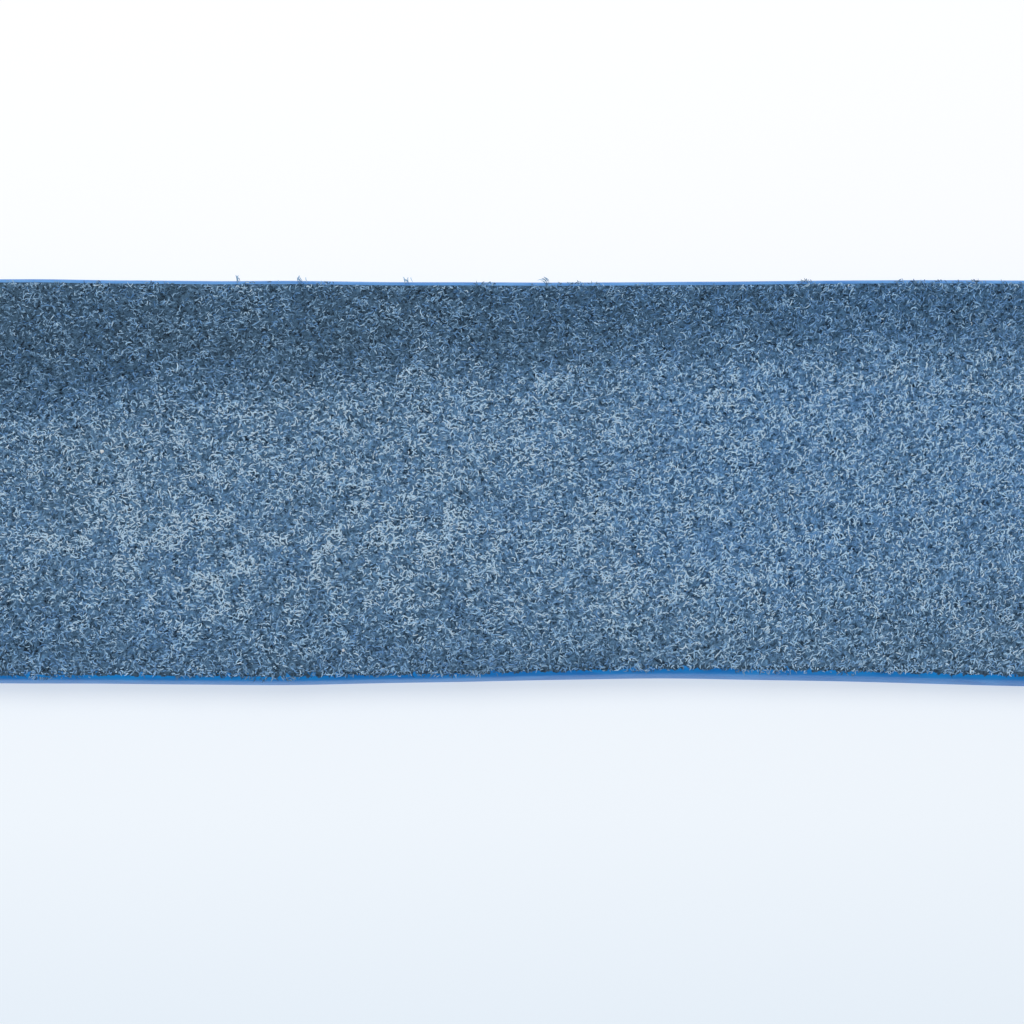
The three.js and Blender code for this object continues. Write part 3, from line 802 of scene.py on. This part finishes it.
def make_nap():
    """Curly fibres all over the flesh side, in a few pieces along the strap."""
    count = int((NAP_END - NAP_START) * STRAP_WIDTH * FIBRES_PER_MM2)
    along = rng.uniform(NAP_START, NAP_END, count)
    right, left = flesh_half_width(along, 1), flesh_half_width(along, -1)
    y = rng.uniform(-1, 1, count)
    y = np.where(y > 0, y * (right - NAP_INSETS[1]), y * (left - NAP_INSETS[0]))
    x = on_course(along)[0]
    u, v = in_view(x, y)
    tone, blue, clump = tone_at(x, y), blue_at(x, y), clumps_at(x, y)
    tangle = soft_noise(x, y, 1.0, 21) + 0.5 * soft_noise(x, y, 2.2, 22)
    spread = 0.72 + 0.46 * tone - 0.25 * smoothstep(0.2, 0.05, v)
    spread *= 1 - 0.14 * smoothstep(0.45, 0.75, u)
    # The tone value brings its painted shade along both long edges into the fibres' shades too.
    value = 2.38 + 2.45 * tone + 2.4 * clump + spread * (1.2 * tangle + rng.normal(0, 1.15, count))
    classes = np.clip(np.round(value), 0, FIBRE_CLASSES - 1).astype(int)
    combed = rng.random(count) < 0.35
    lean = math.radians(50) * smoothstep(0.5, 0.8, u) + rng.normal(0, 0.5, count)
    heading = np.where(combed, lean, rng.uniform(0, 2 * math.pi, count))
    length = np.clip(rng.lognormal(math.log(0.55), 0.38, count), 0.25, 1.6) * (1 + 0.2 * clump)
    turn = rng.choice([-1, 1], count) * rng.uniform(0.3, 3.2, count)
    width = rng.uniform(0.09, 0.18, count)
    height = rng.uniform(0.0, 0.06, count) + 0.03 * classes
    classes = classes + FIBRE_CLASSES * (rng.random(count) < 0.1 + 0.85 * blue)
    ribbons = fibre_ribbons(along, y, heading, length, turn, width, height)
    for zone in range(NAP_ZONES):
        chosen = (along - NAP_START) * NAP_ZONES // (NAP_END - NAP_START) == zone
        ribbon_object(f"nap_{zone + 1}", ribbons[chosen], classes[chosen])


def make_fringe():
    """Fibres that hang raggedly over both cut edges, with a few longer tufts on one of them."""
    ribbons, classes = [], []
    for side in (1, -1):
        count = int((NAP_END - FRINGE_START) * FRINGE_PER_MM)
        along = rng.uniform(FRINGE_START, NAP_END, count)
        ragged = soft_noise(along, 0 * along, 4.0, 41 + side)
        ragged += 0.6 * soft_noise(along, 0 * along, 1.3, 44 + side)
        kept = ragged + rng.uniform(-0.6, 0.6, count) > (0.3 if side > 0 else -0.2)
        along, ragged = along[kept], ragged[kept]
        count = len(along)
        inset = 0.2 if side > 0 else 0.0
        y = side * (flesh_half_width(along, side) - inset - rng.uniform(0.25, 0.8, count) + 0.3 * ragged)
        heading = side * math.pi / 2 + rng.normal(0, 0.9, count)
        length = np.clip(rng.lognormal(math.log(0.5), 0.3, count), 0.25, 0.9)
        ribbons.append(fibre_ribbons(along, y, heading, length, rng.uniform(-3, 3, count),
                                     rng.uniform(0.08, 0.15, count), rng.uniform(0.0, 0.1, count)))
        classes.append(np.clip(rng.normal(2.4, 1.2, count).round(), 0, 5).astype(int))
    for share in TUFT_PLACES:
        count = 7
        along = along_in_view(share) + rng.normal(0, 0.28, count)
        y = half_width(along, 1) + rng.uniform(-0.3, 0.15, count)
        heading = math.radians(125) + rng.normal(0, 0.35, count)
        ribbons.append(fibre_ribbons(along, y, heading, rng.uniform(0.5, 1.0, count),
                                     rng.uniform(-1.2, 1.2, count), np.full(count, 0.11),
                                     rng.uniform(0.1, 0.3, count)))
        classes.append(rng.integers(3, 6, count))
    ribbon_object("nap_fringe", np.concatenate(ribbons), np.concatenate(classes))


def make_lint():
    """A few white specks of lint caught in the nap."""
    for number, (share, v, size) in enumerate(LINT, start=1):
        along = along_in_view(share)
        x, z, _ = on_course(along)
        y = (v - 0.5) * STRAP_WIDTH
        ball = bmesh.new()
        bmesh.ops.create_icosphere(ball, subdivisions=2, radius=size / 2 * MM)
        for vertex in ball.verts:
            vertex.co *= 1 + 0.35 * rng.uniform(-1, 1)
            vertex.co.z *= 0.6
        speck = linked(f"lint_{number}", bpy.data.meshes.new(f"lint_{number}"))
        ball.to_mesh(speck.data)
        ball.free()
        speck.data.shade_smooth()
        speck.data.materials.append(LINT_MATERIAL)
        speck.location = Vector((x, y, z + STRAP_THICKNESS / 2 + lift(along, y) + 0.1)) * MM
        finish_piece(speck, "strop", "flesh_leather")


# ---- grip

def grip_half_width(x):
    """Half the grip's width at x from its start. Both ends are nosed, on a Bezier curve."""
    half, pull = GRIP_WIDTH / 2, -GRIP_NOSE / 3
    nose = bezier((GRIP_NOSE, -half, 0), (pull, -half, 0), (pull, half, 0), (GRIP_NOSE, half, 0), 80)
    nose = nose[40::-1]
    return np.interp(np.minimum(x, GRIP_LENGTH - x), nose[:, 0], -nose[:, 1])


def grip_outline(inset, pitch):
    """Points evenly round the grip, that far inside its edge, as seen from above."""
    x = (1 - np.cos(np.linspace(0, math.pi, 400))) / 2 * GRIP_LENGTH
    half = grip_half_width(x)
    loop = np.vstack([np.column_stack([x, half]), np.column_stack([x, -half])[-2:0:-1]])
    tangent = np.roll(loop, -1, axis=0) - np.roll(loop, 1, axis=0)
    tangent /= np.linalg.norm(tangent, axis=1)[:, None]
    loop += inset * np.column_stack([tangent[:, 1], -tangent[:, 0]])
    return evenly(loop, pitch, closed=True)


def ply_plan():
    """A grid of places over a grip ply, as x, y and how far inside the ply's edge each place is."""
    end_zone = 4.0
    near_end = end_zone * (1 - np.cos(np.linspace(0, math.pi / 2, 7)))
    middle = np.linspace(end_zone, GRIP_LENGTH - end_zone, round(GRIP_LENGTH / PLY_PITCH))
    stations = np.unique(np.round(np.concatenate([near_end, middle, GRIP_LENGTH - near_end]), 4))
    stations = stations[(stations > 0.01) & (stations < GRIP_LENGTH - 0.01)][:, None]
    spots = np.linspace(-1, 1, PLY_COLUMNS + 1)
    x, y = stations + 0 * spots, grip_half_width(stations) * spots
    gaps = np.column_stack([x.ravel(), y.ravel()])[:, None, :] - grip_outline(0.0, 0.1)[None, :, :]
    inside = np.min(np.linalg.norm(gaps, axis=2), axis=1).reshape(x.shape)
    inside[[0, -1]] = 0
    inside[:, [0, -1]] = 0
    return x, y, inside


def ply_object(name, bottom, outer_side):
    """One grip ply, edges rounded, with a stitching channel in its outer side (1 is up, -1 down)."""
    x, y, inside = ply_plan()
    drop = PLY_CORNER ** 2 - np.clip(PLY_CORNER - inside, 0, None) ** 2
    corner = PLY_CORNER - np.sqrt(np.clip(drop, 0, None))
    depth, reach = STITCH_GROOVE
    groove = depth * np.exp(-((inside - STITCH_INSET) / reach) ** 2 * 2)
    swell = 0.05 * soft_noise(x, y, 9.0, 61) * smoothstep(0.5, 3, inside)
    thick = GRIP_PLY - corner - groove - 0.05 + swell
    low, high = (0 * thick, thick) if outer_side > 0 else (GRIP_PLY - thick, 0 * thick + GRIP_PLY)
    points = [np.column_stack([x.ravel() + GRIP_X, y.ravel(), bottom + z.ravel()]) for z in (high, low)]
    index = np.arange(x.size).reshape(x.shape)
    top = np.stack([index[:-1, :-1], index[1:, :-1], index[1:, 1:], index[:-1, 1:]], axis=-1).reshape(-1, 4)
    base = top[:, [0, 3, 2, 1]] + x.size
    rim = [*index[0], *index[1:, -1], *index[-1, -2::-1], *index[-2:0:-1, 0]]
    faces = np.stack([top, base], axis=1).reshape(-1, 4).tolist()
    faces += [[int(i) for i in (a, b, x.size + b, x.size + a)] for a, b in zip(rim, rim[1:] + rim[:1])]
    piece = new_object(name, np.vstack(points), faces, None, GRAIN, PAINT)
    set_slots(piece, np.repeat([0, 1], [2 * len(top), len(rim)]))
    burnish = 0.55 * np.exp(-((inside - STITCH_INSET) / 0.55) ** 2) + 0.5 * smoothstep(1.0, 0.0, inside)
    set_values(piece, "burnish", np.tile(burnish.ravel(), 2))
    set_values(piece, "depth", np.full(2 * x.size, 0.5))
    return piece


def make_core():
    """The filler between the plies, past the end of the strap's tongue, painted all round."""
    low, high = node_box("grip_core")
    start = low[0] - GRIP_X
    outline = [point for point in grip_outline(0.0, 0.4) if point[0] > start]
    first = max(range(len(outline)), key=lambda i: abs(outline[i][1] - outline[i - 1][1]))
    outline = outline[first:] + outline[:first]
    half = math.copysign(GRIP_WIDTH / 2, outline[0][1])
    outline = [(start, half), *outline, (start, -half)]
    points = [(x + GRIP_X, y, z) for z in (low[2], high[2]) for x, y in outline]
    piece = new_object("grip_core_ply", points, stitched_rings(2, len(outline)), None, PAINT)
    set_values(piece, "depth", np.full(len(points), 0.5))
    finish_piece(piece, "strop", "edge_paint", "grip_core")


def make_grip():
    for name, side in (("grip_upper", 1), ("grip_lower", -1)):
        low = node_box(name)[0][2]
        piece = ply_object(name + "_ply", low, side)
        for along in GRIP_SCREWS_X:
            place = Matrix.Translation((GRIP_X + along, 0, low)) @ UPRIGHT
            combine(piece, "DIFFERENCE", [rod(POST_RADIUS + RUNNING_GAP, -20, 20)], place)
        finish_piece(piece, "strop", "grain_leather", name)


def make_stitches():
    """Saddle stitches round the grip: a slanted run of thread between each two holes, on both faces."""
    slant, hole = 0.22, 0.45           # how far a stitch starts to one side of its hole, and past it
    crown, dive = 0.22, 1.0            # how high its middle stands, and how far its ends go down
    marks = grip_outline(STITCH_INSET, STITCH_PITCH)
    t = np.linspace(0, 1, 9)[:, None]
    rise = crown - dive * np.abs(2 * t - 1) ** 4
    points, faces = [], []
    for face_height, up in ((GRIP_UPPER[1][2], 1), (GRIP_LOWER[0][2], -1)):
        surface = face_height - up * (STITCH_GROOVE[0] - 0.02)
        for here, there in zip(marks, np.roll(marks, -1, axis=0)):
            heading = (there - here) / np.linalg.norm(there - here)
            across = np.array([-heading[1], heading[0]]) * slant
            start, end = here + heading * hole + across, there - heading * hole - across
            path = np.hstack([start + (end - start) * t + (GRIP_X, 0), surface + up * rise])
            shape, sides = tube(path, STITCH_THREAD, 10)
            faces += [tuple(len(points) + i for i in side) for side in sides]
            points += shape
    piece = new_object("grip_stitching", points, faces, None, waxed_thread())
    finish_piece(piece, "strop", "waxed_thread")


# ---- screw posts and screws

def turned_piece(name, profile_of, corner):
    """A turned, upright piece where its CAD node stands. Its profile comes from the node's height."""
    low, high = node_box(name)
    place = Matrix.Translation(((low[0] + high[0]) / 2, (low[1] + high[1]) / 2, low[2])) @ UPRIGHT
    height = high[2] - low[2]
    return new_object(name + "_turned", *lathe(profile_of(height), corner, 56), place, NICKEL), place, height


def post_profile(height):
    head = height - SCREW_HEAD_HEIGHT
    brim = 0.55                        # the straight part of the head, below its dome
    turns = [math.pi / 2 * i / 10 for i in range(11)]
    dome = [(head + brim + (SCREW_HEAD_HEIGHT - brim) * math.sin(a), SCREW_HEAD_RADIUS * math.cos(a))
            for a in turns]
    return [(0, 0), (0, POST_RADIUS), (head, POST_RADIUS), (head, SCREW_HEAD_RADIUS), *dome]


def screw_profile(height):
    bevel, pitch, groove = 0.8, 0.5, 0.2
    profile = [(0, 0), (0, SCREW_HEAD_RADIUS - bevel), (bevel, SCREW_HEAD_RADIUS),
               (SCREW_HEAD_HEIGHT, SCREW_HEAD_RADIUS), (SCREW_HEAD_HEIGHT, THREAD_RADIUS)]
    for i in range(int((height - SCREW_HEAD_HEIGHT - 1) / pitch)):
        start = SCREW_HEAD_HEIGHT + pitch * (i + 1)
        profile += [(start, THREAD_RADIUS), (start + pitch / 2, THREAD_RADIUS - groove)]
    return profile + [(height, THREAD_RADIUS - groove), (height, 0)]


def make_post(name):
    """A post with a smooth domed head above the leather, bored for its screw."""
    piece, place, height = turned_piece(name, post_profile, 0.15)
    bore = rod(THREAD_RADIUS + 0.2, -1, height - SCREW_HEAD_HEIGHT - 0.8)
    combine(piece, "DIFFERENCE", [bore], place)
    finish_piece(piece, "strop", "nickel", name)


def make_screw(name):
    """A flat head with a driver slot underneath, and its threaded shank."""
    piece, place, _ = turned_piece(name, screw_profile, 0.12)
    width, depth = SCREW_SLOT
    slot = block((-1, -SCREW_HEAD_RADIUS - 1, -width / 2), (depth, SCREW_HEAD_RADIUS + 1, width / 2))
    combine(piece, "DIFFERENCE", [slot], place)
    finish_piece(piece, "strop", "nickel", name)


# ---- ring and swivel snap

def make_ring():
    """The D-ring: half its wire, from the gap in the bar to the bow's top, and its mirror image."""
    half, corner, depth = RING_HALF_WIDTH, RING_CORNER, RING_DEPTH
    side = np.vstack([
        (0, RING_BUTT_GAP / 2, 0), quarter_turn((0, half - corner, 0), (0, half, 0), (corner, half, 0)),
        quarter_turn((corner, half, 0), (depth, half, 0), (depth, 0, 0), 60),
    ])
    path = evenly(np.vstack([side, side[::-1] * (1, -1, 1)]), 0.7)
    piece = new_object("d_ring_wire", *tube(path, RING_WIRE, 28, 0.3), RING_PLACE, NICKEL)
    finish_piece(piece, "ring", "nickel", "d_ring")


def make_eye():
    around, section = 96, 28
    points = []
    for x, z in circle(1, around):
        for out, y in circle(EYE_WIRE, section):
            points.append(((EYE_RADIUS + out) * x, y, (EYE_RADIUS + out) * z))
    faces = stitched_rings(around, section, closed=True)
    piece = new_object("swivel_eye_forging", points, faces, EYE_PLACE, NICKEL)
    in_eye = EYE_RADIUS - 0.5
    stud = lathe([
        (in_eye, 0), (in_eye, STUD_RADIUS), (STUD_HEAD_BACK, STUD_RADIUS),
        (STUD_HEAD_BACK, STUD_HEAD_RADIUS), (STUD_HEAD_FRONT, STUD_HEAD_RADIUS), (STUD_HEAD_FRONT, 0),
    ])
    combine(piece, "UNION", [stud], EYE_PLACE)
    finish_piece(piece, "eye", "nickel", "swivel_eye")


def hook_path():
    radius = HOOK_OFFSET / 2
    end = HOOK_CREST + radius
    root = (BARREL_END - 10, HOOK_WIRE - BARREL_RADIUS, 0)
    stem = (BARREL_END + 4, -HOOK_OFFSET, 0)
    return evenly(np.vstack([
        bezier(root, (BARREL_END - 3, -BARREL_RADIUS, 0), (BARREL_END - 4, -HOOK_OFFSET, 0), stem),
        quarter_turn((HOOK_CREST, -HOOK_OFFSET, 0), (end, -HOOK_OFFSET, 0), (end, -radius, 0)),
        quarter_turn((end, -radius, 0), (end, 0, 0), (HOOK_CREST, 0, 0)),
        (HOOK_TIP, 0, 0),
    ]), 0.8)


def make_snap_body():
    """The cast body, softened where hook meets barrel, then bored and slotted with crisp edges."""
    barrel = lathe([
        (BARREL_START, 0), (BARREL_START, BARREL_RADIUS - 1.6), (BARREL_START + 1.6, BARREL_RADIUS),
        (BARREL_START + 5, BARREL_RADIUS), (BARREL_START + 5.5, BARREL_RADIUS - 0.5),
        (BARREL_START + 6.5, BARREL_RADIUS - 0.5), (BARREL_START + 7, BARREL_RADIUS),
        (BARREL_END - 1, BARREL_RADIUS), (BARREL_END, BARREL_RADIUS - 1), (BARREL_END, 0),
    ], 0.5, 64)
    piece = new_object("snap_casting", *barrel, ROLLED_PLACE, NICKEL)
    combine(piece, "UNION", [tube(hook_path(), HOOK_WIRE, 32, 0.6)], ROLLED_PLACE)
    remesh = piece.modifiers.new("remesh", "REMESH")
    remesh.mode = "VOXEL"
    remesh.voxel_size = 0.3 * MM
    smooth = piece.modifiers.new("smooth", "SMOOTH")
    smooth.factor = 0.5
    smooth.iterations = 5
    settle(piece)
    slot_half = THUMB_STUD_RADIUS + RUNNING_GAP
    cuts = [
        rod(STUD_RADIUS + RUNNING_GAP, BARREL_START - 1, BARREL_START + BARREL_WALL + 1),
        rod(BORE_RADIUS, BARREL_START + BARREL_WALL, HOOK_TIP - RUNNING_GAP, 64),
        block((THUMB_STUD_AT - BOLT_TRAVEL - slot_half, -slot_half, 0),
              (THUMB_STUD_AT + slot_half, slot_half, BARREL_RADIUS + 1)),
    ]
    combine(piece, "DIFFERENCE", cuts, ROLLED_PLACE)
    if not piece.data.materials:
        piece.data.materials.append(NICKEL)
    finish_piece(piece, "snap", "nickel", "snap_body")


def make_bolt():
    front = HOOK_TIP - RUNNING_GAP
    profile = [(BOLT_BACK, 0), (BOLT_BACK, BOLT_RADIUS), (front, BOLT_RADIUS), (front, 0)]
    piece = new_object("snap_bolt_turned", *lathe(profile, 0.9, 64), ROLLED_PLACE, NICKEL)
    hole_place = ROLLED_PLACE @ Matrix.Translation((THUMB_STUD_AT, 0, 0)) @ UPRIGHT
    hole = rod(THUMB_STUD_RADIUS + RUNNING_GAP, -BOLT_RADIUS / 2, BOLT_RADIUS + 1)
    combine(piece, "DIFFERENCE", [hole], hole_place)
    finish_piece(piece, "bolt", "nickel", "snap_bolt")

    bottom = RUNNING_GAP - BOLT_RADIUS / 2
    knob = BARREL_RADIUS + 0.6
    top, waist = knob + THUMB_KNOB_HEIGHT, knob + THUMB_KNOB_HEIGHT / 2
    stud = lathe([
        (bottom, 0), (bottom, THUMB_STUD_RADIUS), (knob, THUMB_STUD_RADIUS), (knob, THUMB_KNOB_RADIUS),
        (waist - 0.2, THUMB_KNOB_RADIUS), (waist, THUMB_KNOB_RADIUS - 0.25), (waist + 0.2, THUMB_KNOB_RADIUS),
        (top - 0.4, THUMB_KNOB_RADIUS), (top, THUMB_KNOB_RADIUS - 0.9), (top, 0),
    ], 0.35)
    piece = new_object("thumb_stud_turned", *stud, hole_place, NICKEL)
    finish_piece(piece, "bolt", "nickel", "thumb_stud")


def make_spring():
    """An open coil with its end turns closed."""
    start = STUD_HEAD_FRONT + RUNNING_GAP + SPRING_WIRE
    end = BOLT_BACK - RUNNING_GAP - SPRING_WIRE
    t = np.linspace(0, 1, SPRING_TURNS * 32 + 1)
    along = start + (end - start) * smoothstep(-0.12, 1.12, t)
    along = start + (end - start) * (along - along[0]) / (along[-1] - along[0])
    angle = 2 * math.pi * SPRING_TURNS * t
    path = np.column_stack([along, SPRING_RADIUS * np.cos(angle), SPRING_RADIUS * np.sin(angle)])
    coil = tube(path, SPRING_WIRE, 10, 0.05)
    piece = new_object("snap_spring_coil", *coil, ROLLED_PLACE, spring_steel())
    finish_piece(piece, "snap", "spring_steel", "snap_spring")
    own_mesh(piece)


# ---- stage

def make_floor():
    """A faintly glowing white table, its glow painted light. In front of the strap's middle the glow is a
    little bluer and darker, a painted shadow, and just behind the strap it is brighter; further off it is
    even.
    """
    reach = 12000
    corners = [(-reach, -reach, 0), (reach, -reach, 0), (reach, reach, 0), (-reach, reach, 0)]
    floor = new_object("floor", corners, [(0, 1, 2, 3)], None)
    base = (0.42, 0.425, 0.43, 1)
    shader = Shader("floor_white", roughness=0.7, base_color=base, emission_strength=FLOOR_GLOW)
    from_front = shader.add("ShaderNodeSeparateXYZ", {0: shader.place}).outputs["Y"]
    along = shader.levels(from_front, -70 * MM, 60 * MM)
    # Painted shadow and painted light: the glow is darker and bluer in front of the strap and brighter just
    # behind it, along y.
    painted_shadow_and_glow = shader.ramp(along, (0.0, (0.66, 0.77, 0.88, 1)), (0.22, (0.785, 0.86, 0.935, 1)),
                            (0.75, (0.93, 0.945, 0.97, 1)), (1.0, (0.96, 0.965, 0.98, 1)))
    places = {0: shader.place, 1: (VIEW_MIDDLE * MM, -60 * MM, 0.0)}
    away = shader.add("ShaderNodeVectorMath", places, operation="DISTANCE").outputs["Value"]
    near = shader.levels(away, 130 * MM, 420 * MM, 1.0, 0.0)
    glow = shader.mix(near, (0.89, 0.915, 0.95, 1), painted_shadow_and_glow)
    floor.data.materials.append(shader.finish(emission_color=glow))


def make_lights():
    """A softbox behind and above, in a studio with white walls and a grey ceiling."""
    light = bpy.data.lights.new("key_softbox", "AREA")
    light.shape = "RECTANGLE"
    light.size, light.size_y = 1.2, 0.9
    light.energy = KEY_POWER
    light.color = (1.0, 0.99, 0.98)
    lamp = linked("key_softbox", light)
    lamp.location = (-0.2, 0.55, 1.1)
    lamp.rotation_euler = (-lamp.location).to_track_quat("-Z", "Y").to_euler()
    world = bpy.data.worlds.new("studio")
    world.use_nodes = True
    studio = Nodes(world.node_tree)
    direction = studio.add("ShaderNodeTexCoord").outputs["Generated"]
    height = studio.add("ShaderNodeSeparateXYZ", {0: direction}).outputs["Z"]
    walls = studio.ramp(height, (0.0, (1.0, 1.0, 1.0, 1)), (0.6, (0.36, 0.38, 0.41, 1)))
    background = studio.tree.nodes["Background"]
    studio.tree.links.new(walls, background.inputs["Color"])
    background.inputs["Strength"].default_value = WORLD_STRENGTH
    bpy.context.scene.world = world


def make_camera():
    lens, film = 85.0, 36.0
    centre_drop = 4.8                  # how far the strap lies above the middle of the view
    target = Vector((VIEW_MIDDLE, -centre_drop, STRAP_THICKNESS)) * MM
    back = Vector((0, -math.sin(CAMERA_TILT), math.cos(CAMERA_TILT)))
    data = bpy.data.cameras.new("camera")
    data.lens = lens
    data.sensor_width = film
    data.clip_start = 0.01
    camera = linked("camera", data)
    camera.location = target + back * VIEW_WIDTH * lens / film * MM
    camera.rotation_euler = (CAMERA_TILT, 0, 0)
    bpy.context.scene.camera = camera


# ---- build

make_camera()
make_floor()
make_lights()
bpy.context.scene.view_settings.view_transform = "Standard"

make_strap()
make_nap()
make_fringe()
make_lint()

make_grip()
make_stitches()
make_core()
for node in frame["nodes"]:
    if "_post_" in node:
        make_post(node)
    elif "_screw_" in node:
        make_screw(node)
make_ring()
make_eye()
make_snap_body()
make_bolt()
make_spring()
